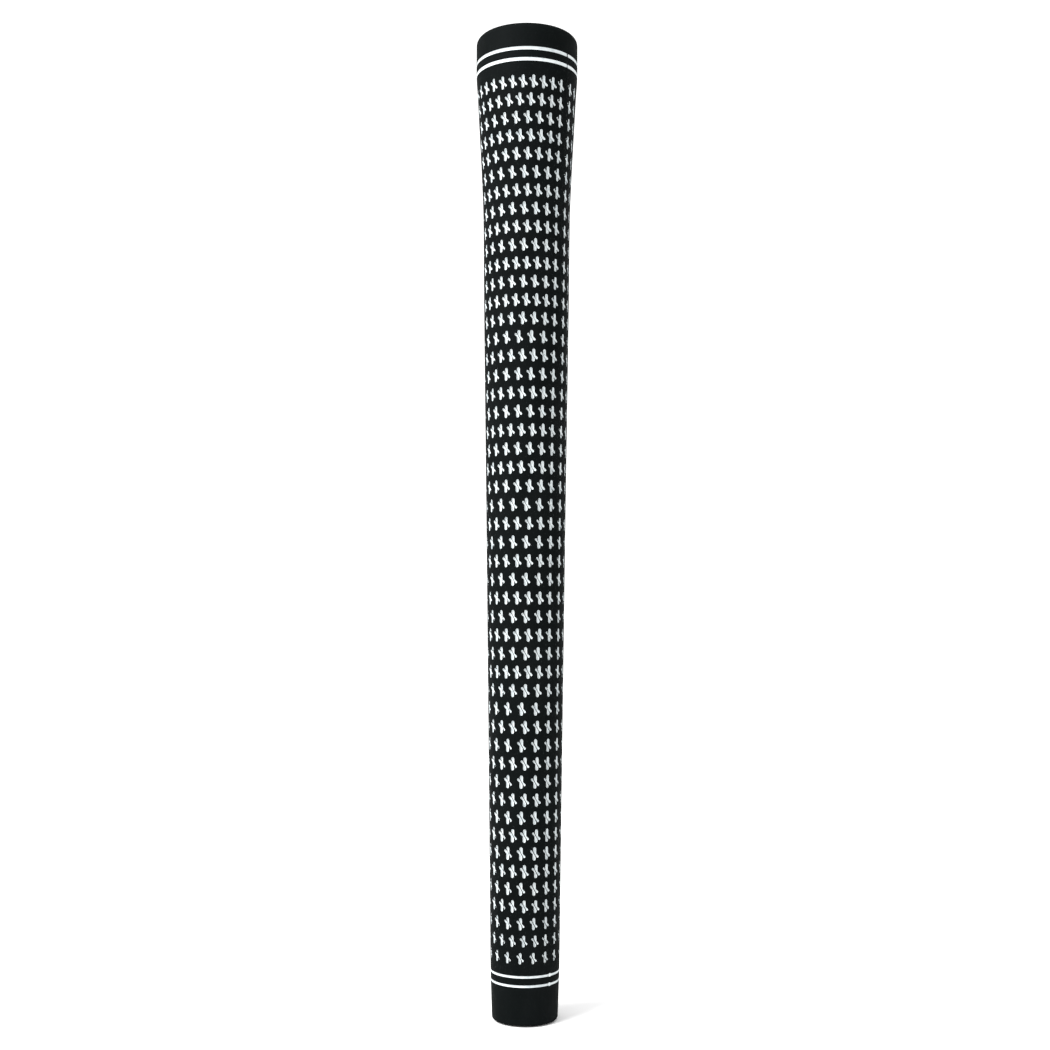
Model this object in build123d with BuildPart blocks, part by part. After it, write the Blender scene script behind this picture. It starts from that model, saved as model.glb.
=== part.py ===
"""Slip-on rubber golf grip, standing on its mouth with the butt cap on top.

The origin is the centre of the mouth, where the shaft enters, and +Z runs up the grip to the butt.
Sizes are in millimetres.

Two rubber slabs are cured together round a tapered core, with a harder cap plugged in at the butt.
The upright plane where they meet shows as a parting line down each side. Two pairs of moulded
grooves, one at each end, are filled with white paint that stops just short of that line.
"""
from build123d import *
from math import cos, degrees, radians, sin
import os

os.makedirs("parts", exist_ok=True)

# Outside of the sleeve: (height, radius) where its taper changes
BUTT_RADIUS = 14.08
BAND_BOTTOM = 258.0         # above this the butt is a straight band
TOP = 267.5                 # top of the shoulder
OUTER_STATIONS = [
    (0.0, 8.80),
    (13.5, 9.25),
    (31.0, 9.47),
    (85.0, 10.16),
    (139.0, 10.90),
    (194.0, 11.71),
    (217.0, 11.97),
    (228.0, 12.41),
    (239.0, 13.00),
    (251.0, 13.66),
    (BAND_BOTTOM, BUTT_RADIUS),
]
SHOULDER_ROUND = 1.8
MOUTH_ROUND = 0.7

# Bore for the shaft: a parallel land at the mouth, then a taper out to a 0.600 inch butt
LAND_RADIUS = 6.35
LAND_LENGTH = 14.0
CORE_RADIUS = 7.62
CORE_TOP = 259.6

# Cap: a crowned disc let into the butt, on a plug that stops the shaft, with a vent hole
DISC_RADIUS = 11.9
DISC_BOTTOM = 264.4
CROWN = 0.5                 # rise of the disc's middle above the shoulder
PLUG_RADIUS = 9.6
VENT_RADIUS = 1.5

# The two slabs meet in an upright plane through the axis, at these angles about +Z from +X
PARTING_RIGHT = -41.5
PARTING_LEFT = PARTING_RIGHT + 180

# Painted grooves: (height of the middle, width)
GROOVES = {
    "butt_ring_upper": (260.0, 1.0),
    "butt_ring_lower": (257.0, 1.0),
    "mouth_ring_upper": (12.8, 0.7),
    "mouth_ring_lower": (10.4, 0.7),
}
GROOVE_DEPTH = 0.50
PAINT_DEPTH = 0.42          # the paint stops a little below the rubber round it
GROOVE_WEB = 0.2            # rubber left between a groove's end and the parting plane
TOOL_REACH = 1.0            # how far a cutting section stands out past the surface


def outer_radius(height):
    """The radius outside at a height, on the straight tapers between the stations."""
    for (low, low_radius), (high, high_radius) in zip(OUTER_STATIONS, OUTER_STATIONS[1:]):
        if height <= high:
            return low_radius + (high_radius - low_radius) * (height - low) / (high - low)
    return BUTT_RADIUS


def upright_plane(angle):
    """The plane through the axis at an angle about +Z: its X runs outwards and its Y runs up."""
    turn = radians(angle)
    return Plane(origin=(0, 0, 0), x_dir=(cos(turn), sin(turn), 0), z_dir=(sin(turn), -cos(turn), 0))


def sleeve_half(start_angle):
    """Half of the sleeve, turned anticlockwise from the parting plane at start_angle."""
    with BuildPart() as half:
        with BuildSketch(upright_plane(start_angle)) as section:
            with BuildLine():
                Polyline(
                    (LAND_RADIUS, 0),
                    *[(radius, height) for height, radius in OUTER_STATIONS],
                    (BUTT_RADIUS, TOP),
                    (DISC_RADIUS, TOP),
                    (DISC_RADIUS, DISC_BOTTOM),
                    (PLUG_RADIUS, DISC_BOTTOM),
                    (PLUG_RADIUS, CORE_TOP),
                    (CORE_RADIUS, CORE_TOP),
                    (LAND_RADIUS, LAND_LENGTH),
                    close=True,
                )
            make_face()
            shoulder = (BUTT_RADIUS, TOP, 0)
            fillet(section.vertices().sort_by_distance(shoulder)[0], SHOULDER_ROUND)
            lip = (outer_radius(0), 0, 0)
            fillet(section.vertices().sort_by_distance(lip)[0], MOUTH_ROUND)
        revolve(axis=Axis.Z, revolution_arc=180)
        for middle, width in GROOVES.values():
            web = web_angle(middle)
            with BuildSketch(upright_plane(start_angle + web)):
                with Locations((outer_radius(middle) - GROOVE_DEPTH, middle)):
                    Rectangle(GROOVE_DEPTH + TOOL_REACH, width, align=(Align.MIN, Align.CENTER))
            revolve(axis=Axis.Z, revolution_arc=180 - 2 * web, mode=Mode.SUBTRACT)
    return half.part


def web_angle(height):
    """The turn from the parting plane to a groove's end."""
    return degrees(GROOVE_WEB / outer_radius(height))


def paint_ring(middle, width):
    """The paint in one groove: an arc on each slab."""
    web = web_angle(middle)
    with BuildPart() as ring:
        for parting in (PARTING_LEFT, PARTING_RIGHT):
            with BuildSketch(upright_plane(parting + web)):
                with Locations((outer_radius(middle) - GROOVE_DEPTH, middle)):
                    Rectangle(PAINT_DEPTH, width, align=(Align.MIN, Align.CENTER))
            revolve(axis=Axis.Z, revolution_arc=180 - 2 * web)
    return ring.part


def save(part, name):
    """Label a finished piece and write its STEP file."""
    part.label = name
    export_step(part, f"parts/{name}.step")


# The slab that faces front and left, and the slab behind it
save(sleeve_half(PARTING_LEFT), "front_sleeve_half")
save(sleeve_half(PARTING_RIGHT), "rear_sleeve_half")

# The cap: disc, plug and vent hole
with BuildPart() as butt_cap:
    with BuildSketch(Plane.XZ) as cap_section:
        with BuildLine():
            Polyline(
                (0, TOP + CROWN),
                (0, CORE_TOP),
                (PLUG_RADIUS, CORE_TOP),
                (PLUG_RADIUS, DISC_BOTTOM),
                (DISC_RADIUS, DISC_BOTTOM),
                (DISC_RADIUS, TOP),
            )
            crown_radius = (DISC_RADIUS ** 2 + CROWN ** 2) / (2 * CROWN)
            RadiusArc((0, TOP + CROWN), (DISC_RADIUS, TOP), crown_radius)
        make_face()
    revolve(axis=Axis.Z)
    with Locations((0, 0, TOP)):
        Hole(VENT_RADIUS)
save(butt_cap.part, "butt_cap")

for ring_name, (ring_middle, ring_width) in GROOVES.items():
    save(paint_ring(ring_middle, ring_width), ring_name)
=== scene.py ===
"""The looks of a slip-on rubber golf grip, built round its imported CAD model."""
import bpy
from math import atan2, cos, hypot, pi, radians, sin
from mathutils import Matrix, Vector
from mathutils.geometry import delaunay_2d_cdt, tessellate_polygon

import numpy as np


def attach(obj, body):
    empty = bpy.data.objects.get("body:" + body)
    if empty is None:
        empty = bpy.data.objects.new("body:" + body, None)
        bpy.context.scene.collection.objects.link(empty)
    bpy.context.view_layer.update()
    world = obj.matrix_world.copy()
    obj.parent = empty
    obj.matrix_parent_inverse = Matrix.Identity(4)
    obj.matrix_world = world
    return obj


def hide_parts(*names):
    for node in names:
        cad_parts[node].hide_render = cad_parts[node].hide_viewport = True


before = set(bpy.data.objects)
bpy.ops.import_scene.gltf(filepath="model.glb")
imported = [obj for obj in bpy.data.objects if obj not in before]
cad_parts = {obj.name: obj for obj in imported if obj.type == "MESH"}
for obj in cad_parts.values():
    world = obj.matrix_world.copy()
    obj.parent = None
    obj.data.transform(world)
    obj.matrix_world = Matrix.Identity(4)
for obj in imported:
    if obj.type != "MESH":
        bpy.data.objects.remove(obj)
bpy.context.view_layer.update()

MM = 0.001

# ---------------------------------------------------------------- the grip's sizes, in millimetres

TOP = 267.5
CROWN = 0.5
BUTT_RADIUS = 14.07
OUTER_STATIONS = [
    (0.0, 8.80),
    (13.5, 9.25),
    (31.0, 9.47),
    (85.0, 10.16),
    (139.0, 10.90),
    (194.0, 11.71),
    (217.0, 11.97),
    (228.0, 12.41),
    (239.0, 13.00),
    (251.0, 13.66),
    (258.0, BUTT_RADIUS),
    (TOP, BUTT_RADIUS),
]
SHOULDER_ROUND = 1.8
MOUTH_ROUND = 0.7
LAND_RADIUS = 6.35
LAND_LENGTH = 14.0
CORE_RADIUS = 7.62
CORE_TOP = 259.6
PLUG_RADIUS = 9.6
DISC_RADIUS = 11.9
DISC_BOTTOM = 264.4
VENT_RADIUS = 1.5
FIT_GAP = 0.02              # left between pieces that touch out of sight

PARTING_RIGHT = radians(-41.5)
PARTING_LEFT = PARTING_RIGHT + pi

# The parting plane wanders round the grip on its way up: (height, degrees)
DRIFT_STATIONS = [(0.0, -3.8), (9.0, -3.8), (18.0, -3.0), (45.0, -1.8), (100.0, -1.0), (140.0, -0.4),
                  (165.0, 0.5), (190.0, 1.9), (217.0, 3.2), (237.0, 3.4), (251.0, 3.1), (267.5, 2.8)]

# Painted grooves: (height of the middle, width, rubber left beside the parting plane)
GROOVES = {
    "butt_ring_upper": (260.0, 1.0, 0.12),
    "butt_ring_lower": (257.0, 1.0, 0.03),
    "mouth_ring_upper": (12.8, 0.7, 0.05),
    "mouth_ring_lower": (10.4, 0.7, 0.05),
}
GROOVE_CORNER = 0.6         # the rounding of a groove's corners, as a part of its half width

# How full of paint each groove is: 0 is as in RING_PAINT_LOOPS, and 1 would be flat at LEAST_DEPTH
FULLNESS = {
    "butt_ring_upper": 0.0,
    "butt_ring_lower": 0.6,
    "mouth_ring_upper": 0.4,
    "mouth_ring_lower": 0.4,
}

# The lower ends of the bands of skin that hold the grooves
BUTT_BANDS = [("butt_ring_upper", 258.65), ("butt_ring_lower", 255.3)]
MOUTH_BANDS = [("mouth_ring_upper", 11.4), ("mouth_ring_lower", 9.0)]

# Plain levels of the skin, above, between and below the bands
BUTT_LEVELS = (264.0, 262.2)
ABOVE_ROWS = 2.5            # from the top row to the level above it
BELOW_ROWS = 2.3            # from the bottom row to the level below it
UNDER_ROWS_LEVEL = 13.8
MOUTH_LEVELS = (7.0, 4.5, 2.2, MOUTH_ROUND)

# The rows of marks. Their spacing is nearly even
ROWS = 49
TOP_ROW = 251.0
BOTTOM_ROW = 17.6
ROW_SHRINK = 0.041          # how much it lessens towards the mouth, as a part of the spacing
ROW_CLOSE_UP = 0.05         # how much it lessens towards both ends

# Marks round one half, and the first rows that lose two marks as the grip narrows
EVEN_ROW_MARKS, EVEN_ROW_LOSSES = 14, (2, 14, 34)
ODD_ROW_MARKS, ODD_ROW_LOSSES = 13, (5, 23)
EDGE_ROOM = 1.15            # the least from the parting plane to the nearest mark's middle
EDGE_ROOM_GROWTH = 0.065    # added to that for each millimetre of the grip's radius
CROWDING = radians(3.4)     # the most that a mark is shifted round the half

# A mark's two halves: (tip of the bar, tip of the foot, half the foot's width)
RIGHT_HALF = ((0.02, 1.42), (0.84, -0.70), 0.39)
LEFT_HALF = ((0.08, 1.32), (0.87, -0.72), 0.38)
CREASE_WAY = np.array([0.51, -0.86])        # along the crease that parts the halves
CREASE_SIDE = np.array([0.86, 0.51])        # away from the crease
CREASE_CORNERS = (0, 1)     # the points of a half's outline that lie on the crease
CREASE_LEADS = (0.1, 0.15)  # straight pieces of the outline beside the crease's lower and upper end
CROOK_BEND = 0.16           # the size of the bend between the bar and the foot
CROOK_SHARPNESS = 0.25      # 0 would put the middle of that bend in its corner
TIP_POINTS = 6              # round the end of a bar or a foot

# How a mark changes on the way down: (first value, [(change, height where it starts, its length)])
MARK_SIZE = (1.02, [(-0.05, 250, 80), (-0.15, 38, 20)])
BAR_HALF = (0.42, [(0.06, 250, 100)])
CREASE_HALF = (0.03, [(0.05, 150, 130)])

# A pocket's rubber and its paint, as loops going in: (inset from the edge, depth)
RUBBER_LOOPS = [(0.0, 0.0), (0.03, 0.012), (0.055, 0.06), (0.06, 0.58)]
PAINT_LOOPS = [(0.05, 0.07), (0.10, 0.25), (0.17, 0.40), (0.25, 0.46)]
RING_PAINT_LOOPS = [(0.05, 0.06), (0.12, 0.18), (0.22, 0.27), (0.32, 0.30)]
LEAST_DEPTH = 0.05          # of the paint in a ring that is quite full
PAINT_UNDER = (0.05, 0.55)
CREASE_DEPTH = 0.38         # of the paint where a mark's two halves meet

# Columns of points round one half: evenly spaced, with a raised line beside the parting plane
EVEN_COLUMNS = 96
SEAM_ANGLES = (0.0, 0.008, 0.018, 0.032)
SEAM_RISE = (0.030, 0.026, 0.008, 0.0)
GROOVE_SEAM_REACH = 0.02    # how far from the parting plane a groove's band keeps them straight
ROW_SEAM_REACH = 1.0

# A dab of paint, as loops going up and in: (distance from its middle, height over the skin)
DAB_LOOPS = [(0.47, -0.10), (0.47, 0.04), (0.41, 0.11), (0.28, 0.15), (0.13, 0.17)]
DAB_POINTS = 20
DAB_LIFT = 0.05             # from the groove's middle up to the dab's middle

# Loose points of the skin in a row of marks, and how far they keep from a mark
LOOSE_LEVELS = 5
LOOSE_STEP = 0.62
LOOSE_FIRST, LOOSE_LAST = 0.8, 0.6          # from the parting plane, at either end of the row
BAR_CLEARANCE = 0.75
FOOT_REACH = 1.6
FOOT_CLEARANCE = 0.65
FOOT_SIDE = (0.59, 0.81)                    # roughly across the line of a mark's two feet

# The mouth's face and lip, the cap's edges, and the section's steps
MOUTH_FACE_RADII = (7.4, 7.0)
MOUTH_LIP = 0.3
SEAM_ROUND = 0.12           # of the edges on both sides of the cap's seam
CORE_STEPS = 10
PLUG_CHAMFER = 0.2
VENT_LIP = 0.25
CROWN_MARGINS = (0.5, 0.45)                 # left plain beside the disc's edge and the vent
CROWN_STEPS = 9
CAP_COLUMNS = 128


def smooth_through(stations):
    """A smooth curve through the stations that never overshoots between them."""
    heights, radii = (np.array(column) for column in zip(*stations))
    rise = np.diff(radii) / np.diff(heights)
    before, after = rise[:-1], rise[1:]
    turns = before * after <= 0
    slopes = np.zeros(len(heights))
    slopes[1:-1] = np.where(turns, 0, 2 * before * after / np.where(turns, 1, before + after))
    slopes[0], slopes[-1] = rise[0], rise[-1]

    def curve(height):
        height = np.clip(height, heights[0], heights[-1])
        k = np.clip(np.searchsorted(heights, height) - 1, 0, len(rise) - 1)
        step = heights[k + 1] - heights[k]
        t = (height - heights[k]) / step
        return ((1 + 2 * t) * (1 - t) ** 2 * radii[k] + t * (1 - t) ** 2 * step * slopes[k]
                + t * t * (3 - 2 * t) * radii[k + 1] + t * t * (t - 1) * step * slopes[k + 1])

    return curve


outer_radius = smooth_through(OUTER_STATIONS)
drift_degrees = smooth_through(DRIFT_STATIONS)


# ---------------------------------------------------------------- outlines of the marks and grooves

def row_height(row):
    """The height of a row's middle."""
    part = row / (ROWS - 1)
    bow = part * (1 - part)
    down = part + ROW_SHRINK * bow - ROW_CLOSE_UP * bow * (1 - 2 * part)
    return TOP_ROW - (TOP_ROW - BOTTOM_ROW) * down


def marks_in_row(row):
    """How many marks a row has round one half. Neighbouring rows differ by one."""
    marks, losses = (ODD_ROW_MARKS, ODD_ROW_LOSSES) if row % 2 else (EVEN_ROW_MARKS, EVEN_ROW_LOSSES)
    return marks - 2 * sum(row >= first for first in losses)


def mark_angles(row):
    """The angles of a row's marks, from the parting plane that the half starts at.

    They crowd a little towards the one that it ends at.
    """
    radius = float(outer_radius(row_height(row)))
    edge = (EDGE_ROOM + EDGE_ROOM_GROWTH * radius) / radius
    even = np.linspace(edge, pi - edge, marks_in_row(row))
    return even + CROWDING * np.sin(even) ** 1.5


def crossing(point, way, other_point, other_way):
    """Where two lines meet."""
    t = np.linalg.solve(np.column_stack([way, -other_way]), other_point - point)[0]
    return point + t * way


def half_outline(bar_half, tips, crease, inset):
    """Half of a mark, anticlockwise: an upright bar that bends into a foot at its lower right.

    A slanted line, the crease's half width from the mark's middle, cuts it off from the other half.
    """
    bar_tip, foot_tip, foot_half = tips
    bar_half, foot_half = bar_half - inset, foot_half - inset
    bar_tip, foot_tip = np.array(bar_tip), np.array(foot_tip)
    up = np.array([0.0, 1.0])
    out = foot_tip / hypot(*foot_tip)
    across = np.array([-out[1], out[0]])
    crease_place = CREASE_SIDE * crease
    crease_top = crossing(crease_place, CREASE_WAY, bar_tip - [bar_half, 0], up)
    crease_end = crossing(crease_place, CREASE_WAY, foot_tip - across * foot_half, out)
    crook = crossing(foot_tip + across * foot_half, out, bar_tip + [bar_half, 0], up)
    turn = atan2(out[1], out[0])
    foot_arc = [foot_tip + foot_half * np.array([cos(a), sin(a)])
                for a in np.linspace(turn - pi / 2, turn + pi / 2, TIP_POINTS)]
    bar_arc = [bar_tip + bar_half * np.array([cos(a), sin(a)]) for a in np.linspace(0, pi, TIP_POINTS)]
    crook_arc = [crook + CROOK_BEND * out,
                 crook + CROOK_SHARPNESS * CROOK_BEND * (out + up),
                 crook + CROOK_BEND * up]
    foot_lead, bar_lead = CREASE_LEADS
    return np.array([crease_top, crease_end, crease_end + foot_lead * out,
                     *foot_arc, *crook_arc, *bar_arc, crease_top + bar_lead * up])


def on_the_way_down(height, first, changes):
    """A size that changes evenly over some lengths of the grip, and keeps still between them."""
    value = first
    for change, start, length in changes:
        value += change * np.clip((start - height) / length, 0, 1)
    return value


def mark_halves(height, inset, parted=True):
    """A mark's two halves. The second is like the first turned upside down, with a shorter bar.

    Towards the mouth the marks get smaller, their bars wider and the crease between them wider.
    """
    size = on_the_way_down(height, *MARK_SIZE)
    bar_half = on_the_way_down(height, *BAR_HALF)
    crease = on_the_way_down(height, *CREASE_HALF) + inset if parted else 0.0
    inset = inset / size
    right = half_outline(bar_half, RIGHT_HALF, crease, inset)
    left = -half_outline(bar_half, LEFT_HALF, crease, inset)
    return [right * size, left * size]


def mark_outline(height, inset):
    """A whole mark: its two halves run together."""
    right, left = mark_halves(height, inset, parted=False)

    def notch(bar_side, foot_side):
        """The corner where one half's bar meets the other half's foot."""
        bar_way = bar_side[0] - bar_side[-1]
        foot_way = foot_side[2] - foot_side[1]
        return crossing(bar_side[0], bar_way, foot_side[1], foot_way)

    return np.array([notch(left, right), *right[3:-1], notch(right, left), *left[3:-1]])


def groove_outline(height, width, web, inset):
    """A groove round one half, anticlockwise, in arc lengths from the parting plane."""
    start = web + inset
    end = pi * float(outer_radius(height)) - web - inset
    half = width / 2 - inset
    corner = GROOVE_CORNER * half
    turns = np.radians([30, 60, 90])

    def corner_points(x, y, first):
        return [(x + corner * cos(first + a), y + corner * sin(first + a)) for a in turns]

    low = [(x, -half) for x in np.linspace(start + corner, end - corner, EVEN_COLUMNS)]
    high = [(x, half) for x in np.linspace(end - corner, start + corner, EVEN_COLUMNS)]
    inner = half - corner
    points = (low + corner_points(end - corner, -inner, -pi / 2)
              + corner_points(end - corner, inner, 0)[:-1]
              + high + corner_points(start + corner, inner, pi / 2)
              + corner_points(start + corner, -inner, pi)[:-1])
    return np.array(points)


# ---------------------------------------------------------------- mesh building

class Surface:
    """Points given by angle, radius and height, with faces between them."""

    def __init__(self):
        self.points = []
        self.faces = []
        self.smooth_skin = []

    def add(self, angle, radius, height, skin=False):
        """A point, by its number. One on the skin is shaded as part of the smooth outside."""
        self.points.append((angle, radius, height))
        self.smooth_skin.append(skin)
        return len(self.points) - 1

    def loop(self, points, depth, sunk=(), sunk_depth=0.0):
        """Points on the grip's skin, or under it, given by angle and height. Some can lie deeper."""
        depths = [max(depth, sunk_depth) if k in sunk else depth for k in range(len(points))]
        return [self.add(angle, float(outer_radius(height)) - under, height, under == 0)
                for (angle, height), under in zip(points, depths)]

    def strip(self, outer, inner, closed=True):
        """Quads from one loop to the next."""
        count = len(outer)
        for i in range(count if closed else count - 1):
            j = (i + 1) % count
            self.faces.append((outer[i], outer[j], inner[j], inner[i]))

    def fill_groove(self, loop, flip=False):
        """Quads across a groove's long loop, which follow the curve, and triangles at its ends."""
        cap = len(loop) // 2 - EVEN_COLUMNS
        low, high = loop[:EVEN_COLUMNS], loop[EVEN_COLUMNS + cap:2 * EVEN_COLUMNS + cap][::-1]
        for i in range(EVEN_COLUMNS - 1):
            quad = (low[i], low[i + 1], high[i + 1], high[i])
            self.faces.append(quad[::-1] if flip else quad)
        self.fill(loop[EVEN_COLUMNS - 1:EVEN_COLUMNS + cap + 1], flip)
        self.fill(loop[2 * EVEN_COLUMNS + cap - 1:] + loop[:1], flip)

    def fill(self, loop, flip=False):
        """Triangles across a flat loop."""
        if len(loop) > 2 * EVEN_COLUMNS:
            self.fill_groove(loop, flip)
            return
        about_radius = 10
        corners = [Vector((self.points[i][0] * about_radius, self.points[i][2], 0)) for i in loop]
        for triangle in tessellate_polygon([corners]):
            a, b, c = (loop[k] for k in triangle)
            if (self.turn(a, b, c) < 0) != flip:
                b, c = c, b
            self.faces.append((a, b, c))

    def turn(self, a, b, c):
        """Positive where three points run anticlockwise, seen from outside."""
        (ax, _, ay), (bx, _, by), (cx, _, cy) = (self.points[i] for i in (a, b, c))
        return (bx - ax) * (cy - ay) - (cx - ax) * (by - ay)

    def mesh_object(self, name, turn, material):
        """The finished piece, turned about the axis, in metres."""
        angle, radius, height = np.array(self.points).T
        angle = angle + turn + np.radians(drift_degrees(height))
        places = np.column_stack([radius * np.cos(angle), radius * np.sin(angle), height]) * MM
        mesh = bpy.data.meshes.new(name)
        mesh.from_pydata(places.tolist(), [], self.faces)
        mesh.polygons.foreach_set("use_smooth", [True] * len(mesh.polygons))
        mesh.set_sharp_from_angle(angle=radians(40))
        skin = np.array(self.smooth_skin)
        if skin.any():
            slope = outer_radius(height + 0.5) - outer_radius(height - 0.5)
            normals = np.column_stack([np.cos(angle), np.sin(angle), -slope])
            normals /= np.linalg.norm(normals, axis=1)[:, None]
            normals[~skin] = 0
            mesh.normals_split_custom_set_from_vertices(normals.tolist())
        mesh.materials.append(material)
        piece = bpy.data.objects.new(name, mesh)
        bpy.context.scene.collection.objects.link(piece)
        return piece


COLUMN_ANGLES = (list(SEAM_ANGLES) + list(np.linspace(0, pi, EVEN_COLUMNS + 1)[2:-2])
                 + [pi - a for a in reversed(SEAM_ANGLES)])


def column_rise(index):
    """How far the raised line beside the parting plane stands out in a column."""
    from_edge = min(index, len(COLUMN_ANGLES) - 1 - index)
    return SEAM_RISE[from_edge] if from_edge < len(SEAM_RISE) else 0.0


def level(surface, radius, height, raised=False):
    """A row of points round one half, at one height."""
    row = []
    for index, angle in enumerate(COLUMN_ANGLES):
        rise = column_rise(index) if raised else 0.0
        row.append(surface.add(angle, radius + rise, height, raised and rise == 0.0))
    return row


def skin_level(surface, height):
    """A row of points on the grip's outside."""
    return level(surface, float(outer_radius(height)), height, raised=True)


def pocket(surface, outline_at, place):
    """A moulded pocket: loops from the skin down to its floor. Returns the loop on the skin."""
    loops = [surface.loop(place(outline_at(inset)), depth) for inset, depth in RUBBER_LOOPS]
    for outer, inner in zip(loops, loops[1:]):
        surface.strip(outer, inner)
    surface.fill(loops[-1])
    return loops[0]


def paint_fill(surface, outline_at, place, profile=PAINT_LOOPS, sunk=()):
    """The paint in a pocket: a dished top, and a flat underside out of sight.

    The outline's sunk points lie at least as deep as the crease.
    """
    loops = [surface.loop(place(outline_at(inset)), depth, sunk, CREASE_DEPTH)
             for inset, depth in profile]
    for outer, inner in zip(loops, loops[1:]):
        surface.strip(outer, inner)
    surface.fill(loops[-1])
    inset, depth = PAINT_UNDER
    under = surface.loop(place(outline_at(inset)), depth)
    surface.strip(under, loops[0])
    surface.fill(under, flip=True)


def mark_places(row):
    """A function for each mark of a row that places its outline on the grip."""
    height = row_height(row)
    radius = float(outer_radius(height))
    for angle in mark_angles(row):
        def place(points, angle=angle):
            return [(angle + x / radius, height + y) for x, y in points]
        yield place


def mark_pockets(row):
    """The pockets of a row, each a function giving its outline and one placing it."""
    return [((lambda inset: mark_outline(row_height(row), inset)), place) for place in mark_places(row)]


def groove_pocket(height, width, web):
    """A groove's outline and placing, as mark_pockets gives them."""
    radius = float(outer_radius(height))

    def place(points):
        return [(x / radius, height + y) for x, y in points]

    return (lambda inset: groove_outline(height, width, web, inset)), place


def dab(surface, height):
    """A spot of paint that stands on the skin, over the parting plane."""
    radius = float(outer_radius(height))
    middle = height + DAB_LIFT
    turns = np.linspace(0, 2 * pi, DAB_POINTS + 1)[:-1]
    loops = [[surface.add(reach * cos(a) / radius, radius + rise, middle + reach * sin(a))
              for a in turns]
             for reach, rise in DAB_LOOPS]
    for outer, inner in zip(loops, loops[1:]):
        surface.strip(outer, inner)
    surface.fill(loops[-1])
    surface.fill(loops[0], flip=True)


def between_marks(row, low, high):
    """Places spread over a row of marks and clear of them, which keep its triangles even."""
    height = row_height(row)
    radius = float(outer_radius(height))
    centres = mark_angles(row) * radius
    places = []
    for y in np.linspace(low, high, LOOSE_LEVELS + 2)[1:-1]:
        for x in np.arange(LOOSE_FIRST, pi * radius - LOOSE_LAST, LOOSE_STEP):
            mark = centres[np.argmin(abs(centres - x))]
            dx, dy = x - mark, y - height
            from_feet = abs(dx * FOOT_SIDE[0] + dy * FOOT_SIDE[1])
            clear_of_feet = abs(dx) >= FOOT_REACH or from_feet > FOOT_CLEARANCE
            if abs(dx) > BAR_CLEARANCE and clear_of_feet:
                places.append((x / radius, y))
    return places


def pierced_band(surface, low_row, high_row, pockets, extra, scale, seam_reach):
    """The skin between two levels, with a hole for each pocket.

    The columns of the raised line are kept straight as far as seam_reach from the parting plane.
    """
    holes = [pocket(surface, *each) for each in pockets]
    loose = surface.loop(extra, 0.0)
    used = low_row + high_row + [i for hole in holes for i in hole] + loose
    local = {point: k for k, point in enumerate(used)}
    flat = [Vector((surface.points[i][0] * scale, surface.points[i][2])) for i in used]
    edges = []
    for row in (low_row, high_row):
        edges += [(local[a], local[b]) for a, b in zip(row, row[1:])]
    seam_columns = [k for k, angle in enumerate(SEAM_ANGLES) if angle * scale < seam_reach]
    for k in [*seam_columns, *[-1 - k for k in seam_columns]]:
        edges.append((local[low_row[k]], local[high_row[k]]))
    outlines = [[local[i] for i in hole] for hole in holes]
    tolerance = 1e-7
    _, _, faces, origin, _, owners = delaunay_2d_cdt(flat, edges, outlines, 0, tolerance)
    for face, owner in zip(faces, owners):
        if owner:
            continue
        a, b, c = (used[origin[k][0]] for k in face)
        if surface.turn(a, b, c) < 0:
            b, c = c, b
        surface.faces.append((a, b, c))


def arc(centre_radius, centre_height, size, first, last, steps):
    """Places on an arc of the section, from one angle to another in degrees."""
    return [(centre_radius + size * cos(a), centre_height + size * sin(a))
            for a in np.radians(np.linspace(first, last, steps))]


def inner_section():
    """The section from the mouth's outer edge, up the bore and over the butt to the shoulder."""
    edge = float(outer_radius(MOUTH_ROUND))
    return (
        arc(edge - MOUTH_ROUND, MOUTH_ROUND, MOUTH_ROUND, 0, -90, 7)[1:]
        + [(radius, 0.0) for radius in MOUTH_FACE_RADII]
        + arc(LAND_RADIUS + MOUTH_LIP, MOUTH_LIP, MOUTH_LIP, -90, -180, 5)
        + [(LAND_RADIUS, LAND_LENGTH)]
        + [(LAND_RADIUS + (CORE_RADIUS - LAND_RADIUS) * t, LAND_LENGTH + (CORE_TOP - LAND_LENGTH) * t)
           for t in np.linspace(1 / CORE_STEPS, 1, CORE_STEPS)]
        + [(PLUG_RADIUS, CORE_TOP), (PLUG_RADIUS, DISC_BOTTOM), (DISC_RADIUS, DISC_BOTTOM)]
        + [(DISC_RADIUS, TOP - SEAM_ROUND)]
        + arc(DISC_RADIUS + SEAM_ROUND, TOP - SEAM_ROUND, SEAM_ROUND, 180, 90, 4)[1:]
        + arc(BUTT_RADIUS - SHOULDER_ROUND, TOP - SHOULDER_ROUND, SHOULDER_ROUND, 90, 0, 10)
    )


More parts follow.
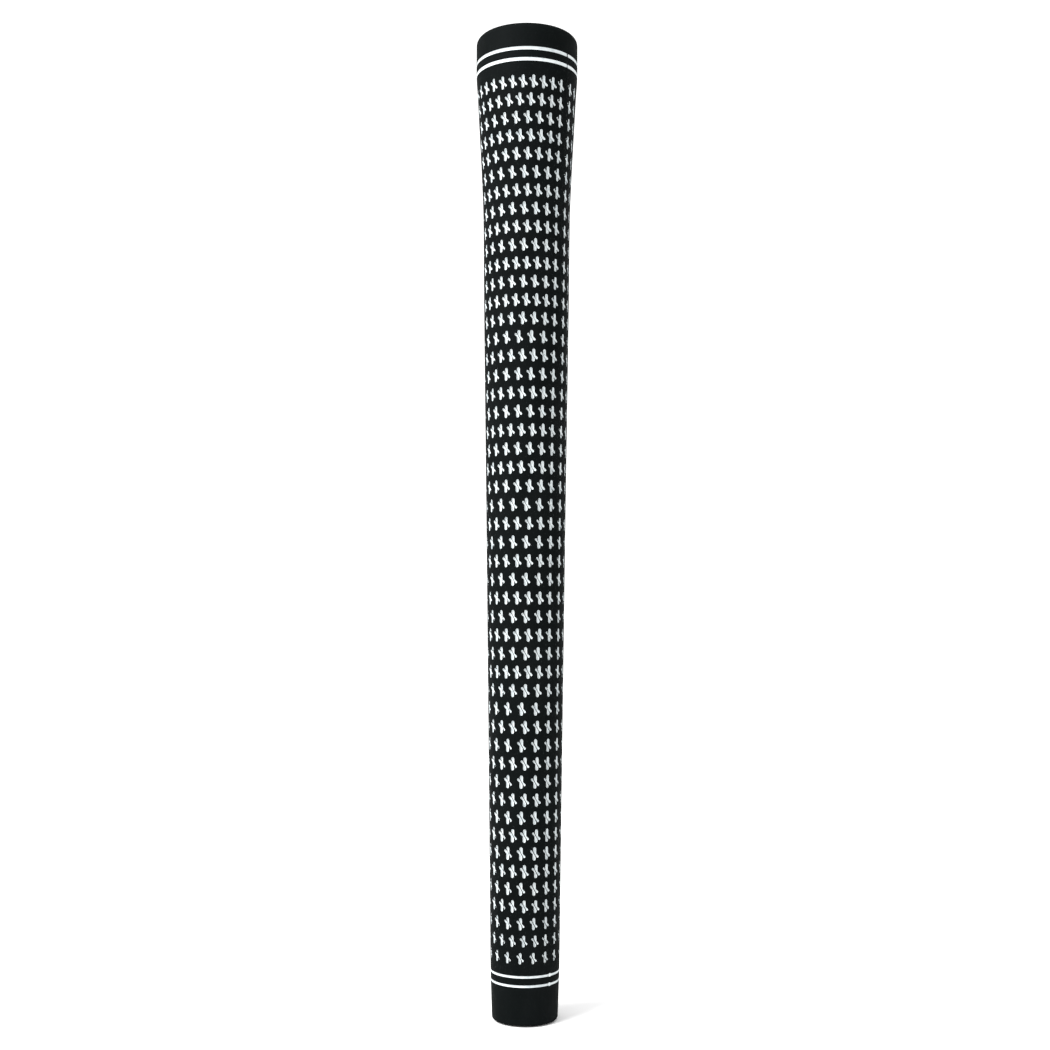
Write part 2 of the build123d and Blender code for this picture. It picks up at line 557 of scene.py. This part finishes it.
def sleeve_half_surface():
    """One slab of the sleeve, from its parting plane at angle 0 to the one at 180 degrees."""
    surface = Surface()
    levels = [level(surface, radius, height) for radius, height in inner_section()]

    def down_to(height):
        levels.append(skin_level(surface, height))
        surface.strip(levels[-1], levels[-2], closed=False)

    def pierced_down_to(height, pockets, extra=(), seam_reach=GROOVE_SEAM_REACH):
        levels.append(skin_level(surface, height))
        scale = float(outer_radius(height))
        pierced_band(surface, levels[-1], levels[-2], pockets, extra, scale, seam_reach)

    for lower, upper in zip(levels, levels[1:]):
        surface.strip(upper, lower, closed=False)
    for height in BUTT_LEVELS:
        down_to(height)
    for ring, height in BUTT_BANDS:
        pierced_down_to(height, [groove_pocket(*GROOVES[ring])])
    high = row_height(0) + ABOVE_ROWS
    down_to(high)
    row_ends = [(row_height(row) + row_height(row + 1)) / 2 for row in range(ROWS - 1)]
    for row, low in enumerate([*row_ends, BOTTOM_ROW - BELOW_ROWS]):
        pierced_down_to(low, mark_pockets(row), between_marks(row, low, high), ROW_SEAM_REACH)
        high = low
    down_to(UNDER_ROWS_LEVEL)
    for ring, height in MOUTH_BANDS:
        pierced_down_to(height, [groove_pocket(*GROOVES[ring])])
    for height in MOUTH_LEVELS:
        down_to(height)
    surface.strip(levels[0], levels[-1], closed=False)
    close_parting_faces(surface, levels)
    return surface


def close_parting_faces(surface, levels):
    """The flat faces on the parting plane, where the two slabs meet."""
    for side in (0, -1):
        section = [row[side] for row in levels]
        corners = [Vector((surface.points[i][1], surface.points[i][2], 0)) for i in section]
        for triangle in tessellate_polygon([corners]):
            a, b, c = (section[k] for k in triangle)
            (ar, az), (br, bz), (cr, cz) = (surface.points[i][1:] for i in (a, b, c))
            anticlockwise = (br - ar) * (cz - az) - (cr - ar) * (bz - az) > 0
            surface.faces.append((a, b, c) if anticlockwise == (side == 0) else (a, c, b))


# ---------------------------------------------------------------- materials

RUBBER_DARK, RUBBER_LIGHT = (0.0016, 0.0026, 0.0026), (0.0040, 0.0051, 0.0053)
CAP_DARK, CAP_LIGHT = (0.0024, 0.0032, 0.0032), (0.0050, 0.0058, 0.0058)
PAINT_STOPS = [
    (0.25, (0.44, 0.49, 0.51)),
    (0.48, (0.57, 0.61, 0.62)),
    (0.75, (0.62, 0.65, 0.65)),
]


def new_material(name):
    """A material, its node tree and its shader."""
    material = bpy.data.materials.new(name)
    material.use_nodes = True
    tree = material.node_tree
    return material, tree, tree.nodes["Principled BSDF"]


def noise(tree, scale, detail=3.0, roughness=0.5, stretch=None):
    """Noise in the object's own space, in metres."""
    coords = tree.nodes.new("ShaderNodeTexCoord")
    node = tree.nodes.new("ShaderNodeTexNoise")
    node.inputs["Scale"].default_value = scale
    node.inputs["Detail"].default_value = detail
    node.inputs["Roughness"].default_value = roughness
    source = coords.outputs["Object"]
    if stretch:
        mapping = tree.nodes.new("ShaderNodeMapping")
        mapping.inputs["Scale"].default_value = stretch
        tree.links.new(source, mapping.inputs["Vector"])
        source = mapping.outputs["Vector"]
    tree.links.new(source, node.inputs["Vector"])
    return node.outputs["Fac"]


def ramp(tree, value, stops):
    """A colour picked by a value, between stops of (value, colour)."""
    node = tree.nodes.new("ShaderNodeValToRGB")
    elements = node.color_ramp.elements
    while len(elements) < len(stops):
        elements.new(0.5)
    for element, (place, colour) in zip(elements, stops):
        element.position = place
        element.color = (*colour, 1)
    tree.links.new(value, node.inputs["Fac"])
    return node.outputs["Color"]


def spread(tree, value, low, high):
    """A value from 0 to 1, spread from low to high."""
    node = tree.nodes.new("ShaderNodeMapRange")
    node.inputs["To Min"].default_value = low
    node.inputs["To Max"].default_value = high
    tree.links.new(value, node.inputs["Value"])
    return node.outputs["Result"]


def bump(tree, height, distance, strength):
    """Normals for a fine relief."""
    node = tree.nodes.new("ShaderNodeBump")
    node.inputs["Distance"].default_value = distance
    node.inputs["Strength"].default_value = strength
    tree.links.new(height, node.inputs["Height"])
    return node.outputs["Normal"]


def rubber_material(name, grain, dark, light):
    """Black moulded rubber: a fine matte grain, faint bloom and slightly uneven sheen."""
    material, tree, shader = new_material(name)
    bloom = noise(tree, scale=90, detail=4.0, roughness=0.6, stretch=(1, 1, 0.4))
    fine = noise(tree, scale=grain, detail=3.0, roughness=0.6)
    colour = ramp(tree, bloom, [(0.30, dark), (0.72, light)])
    tree.links.new(colour, shader.inputs["Base Color"])
    tree.links.new(spread(tree, bloom, low=0.62, high=0.80), shader.inputs["Roughness"])
    shader.inputs["Specular IOR Level"].default_value = 0.028
    tree.links.new(bump(tree, fine, distance=0.00004, strength=0.5), shader.inputs["Normal"])
    return material


def paint_material():
    """Flat white infill paint, a little blue, uneven and thin in places."""
    material, tree, shader = new_material("white_infill_paint")
    patches = noise(tree, scale=700, detail=3.0, roughness=0.6)
    grain = noise(tree, scale=3500, detail=2.0, roughness=0.5)
    tree.links.new(ramp(tree, patches, PAINT_STOPS), shader.inputs["Base Color"])
    tree.links.new(spread(tree, patches, low=0.45, high=0.60), shader.inputs["Roughness"])
    shader.inputs["Specular IOR Level"].default_value = 0.35
    tree.links.new(bump(tree, grain, distance=0.00003, strength=0.4), shader.inputs["Normal"])
    return material


def stage_material():
    """Matte and nearly white."""
    material, _, shader = new_material("pale_stage")
    shader.inputs["Base Color"].default_value = (0.95, 0.95, 0.95, 1)
    shader.inputs["Roughness"].default_value = 0.9
    shader.inputs["Specular IOR Level"].default_value = 0.0
    return material


rubber = rubber_material("black_moulded_rubber", grain=4200, dark=RUBBER_DARK, light=RUBBER_LIGHT)
cap_rubber = rubber_material("black_cap_rubber", grain=6000, dark=CAP_DARK, light=CAP_LIGHT)
paint = paint_material()


# ---------------------------------------------------------------- the pieces

def finish_piece(piece, slot, *nodes):
    """Every piece is fixed to the root body. Some replace CAD nodes."""
    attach(piece, "root")
    if nodes:
        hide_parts(*nodes)


slab = sleeve_half_surface()
front_sleeve = slab.mesh_object("front_sleeve", PARTING_LEFT, rubber)
rear_sleeve = slab.mesh_object("rear_sleeve", PARTING_RIGHT, rubber)
finish_piece(front_sleeve, "black_rubber", "front_sleeve_half")
finish_piece(rear_sleeve, "black_rubber", "rear_sleeve_half")

marks = Surface()
for row in range(ROWS):
    for place in mark_places(row):
        for side in (0, 1):
            def painted_half(inset):
                return mark_halves(row_height(row), inset)[side]
            paint_fill(marks, painted_half, place, sunk=CREASE_CORNERS)
finish_piece(marks.mesh_object("front_marks", PARTING_LEFT, paint), "white_paint")
finish_piece(marks.mesh_object("rear_marks", PARTING_RIGHT, paint), "white_paint")

for ring_name, ring_sizes in GROOVES.items():
    ring = Surface()
    fullness = FULLNESS[ring_name]
    profile = [(inset, depth - fullness * (depth - LEAST_DEPTH)) for inset, depth in RING_PAINT_LOOPS]
    paint_fill(ring, *groove_pocket(*ring_sizes), profile=profile)
    if ring_name.startswith("mouth"):
        dab(ring, ring_sizes[0])
    for side, start in (("front", PARTING_LEFT), ("rear", PARTING_RIGHT)):
        finish_piece(ring.mesh_object(f"{ring_name}_{side}", start, paint), "white_paint", ring_name)


def cap_surface():
    """The crowned disc and its plug, pierced by the vent."""
    surface = Surface()
    disc, plug, vent = DISC_RADIUS - FIT_GAP, PLUG_RADIUS - FIT_GAP, VENT_RADIUS

    def crown_height(radius):
        return TOP + CROWN * (1 - (radius / disc) ** 2)

    section = (
        [(vent, CORE_TOP + PLUG_CHAMFER), (vent + PLUG_CHAMFER, CORE_TOP), (plug, CORE_TOP)]
        + [(plug, DISC_BOTTOM + FIT_GAP), (disc, DISC_BOTTOM + FIT_GAP), (disc, TOP - SEAM_ROUND)]
        + arc(disc - SEAM_ROUND, TOP - SEAM_ROUND, SEAM_ROUND, 0, 80, 4)[1:]
        + [(radius, crown_height(radius))
           for radius in np.linspace(disc - CROWN_MARGINS[0], vent + CROWN_MARGINS[1], CROWN_STEPS)]
        + arc(vent + VENT_LIP, crown_height(vent) - VENT_LIP, VENT_LIP, 90, 180, 5)
    )
    turns = [2 * pi * k / CAP_COLUMNS for k in range(CAP_COLUMNS)]
    rows = [[surface.add(angle, radius, height) for angle in turns] for radius, height in section]
    for lower, upper in zip(rows, rows[1:] + rows[:1]):
        surface.strip(lower, upper)
    return surface


finish_piece(cap_surface().mesh_object("cap", 0.0, cap_rubber), "cap_rubber", "butt_cap")


# ---------------------------------------------------------------- camera, stage and light, in metres

LENS = 49.03                # millimetres, like the sensor's width
SENSOR_WIDTH = 36
CAMERA_PLACE = (-0.00026, -0.39035, 0.10808)
CAMERA_TILT, CAMERA_ROLL, CAMERA_SWING = radians(93.525), radians(-0.133), radians(-0.008)
STAGE_FRONT, STAGE_DEPTH = -6.0, 1.2        # from the axis to the stage's front edge and to its bend
STAGE_HALF_WIDTH = 6.0
STAGE_HEIGHT = 5.0
STAGE_BEND = 1.0
FLOOR = -0.0003             # a little under the mouth's face
LIGHT_PLACE = (-0.90, -0.66, 1.10)
LIGHT_TARGET = (0, 0, 0.14)
LIGHT_SIZE = 0.80
LIGHT_POWER = 32
WORLD_STRENGTH = 1.12

camera = bpy.data.objects.new("camera", bpy.data.cameras.new("camera"))
camera.data.lens = LENS
camera.data.sensor_width = SENSOR_WIDTH
camera.data.clip_start = 0.01
camera.location = CAMERA_PLACE
camera.rotation_euler = (CAMERA_TILT, CAMERA_ROLL, CAMERA_SWING)
bpy.context.scene.collection.objects.link(camera)
bpy.context.scene.camera = camera


def stage_piece():
    """A pale floor that curves up into a backdrop."""
    line = [(STAGE_FRONT, FLOOR), (STAGE_DEPTH, FLOOR)]
    line += [(STAGE_DEPTH + STAGE_BEND * sin(a), FLOOR + STAGE_BEND - STAGE_BEND * cos(a))
             for a in np.linspace(0.1, pi / 2, 12)]
    line += [(STAGE_DEPTH + STAGE_BEND, STAGE_HEIGHT)]
    verts = [(x, y, z) for y, z in line for x in (-STAGE_HALF_WIDTH, STAGE_HALF_WIDTH)]
    faces = [(2 * k, 2 * k + 1, 2 * k + 3, 2 * k + 2) for k in range(len(line) - 1)]
    mesh = bpy.data.meshes.new("stage")
    mesh.from_pydata(verts, [], faces)
    mesh.polygons.foreach_set("use_smooth", [True] * len(mesh.polygons))
    mesh.materials.append(stage_material())
    stage = bpy.data.objects.new("stage", mesh)
    bpy.context.scene.collection.objects.link(stage)


stage_piece()

light = bpy.data.lights.new("key", "AREA")
light.size = LIGHT_SIZE
light.energy = LIGHT_POWER
lamp = bpy.data.objects.new("key", light)
lamp.location = LIGHT_PLACE
lamp.rotation_euler = (Vector(LIGHT_TARGET) - Vector(LIGHT_PLACE)).to_track_quat("-Z", "Y").to_euler()
bpy.context.scene.collection.objects.link(lamp)

world = bpy.data.worlds.new("studio")
world.use_nodes = True
world.node_tree.nodes["Background"].inputs["Color"].default_value = (1, 1, 1, 1)
world.node_tree.nodes["Background"].inputs["Strength"].default_value = WORLD_STRENGTH
bpy.context.scene.world = world
bpy.context.scene.view_settings.view_transform = "Standard"
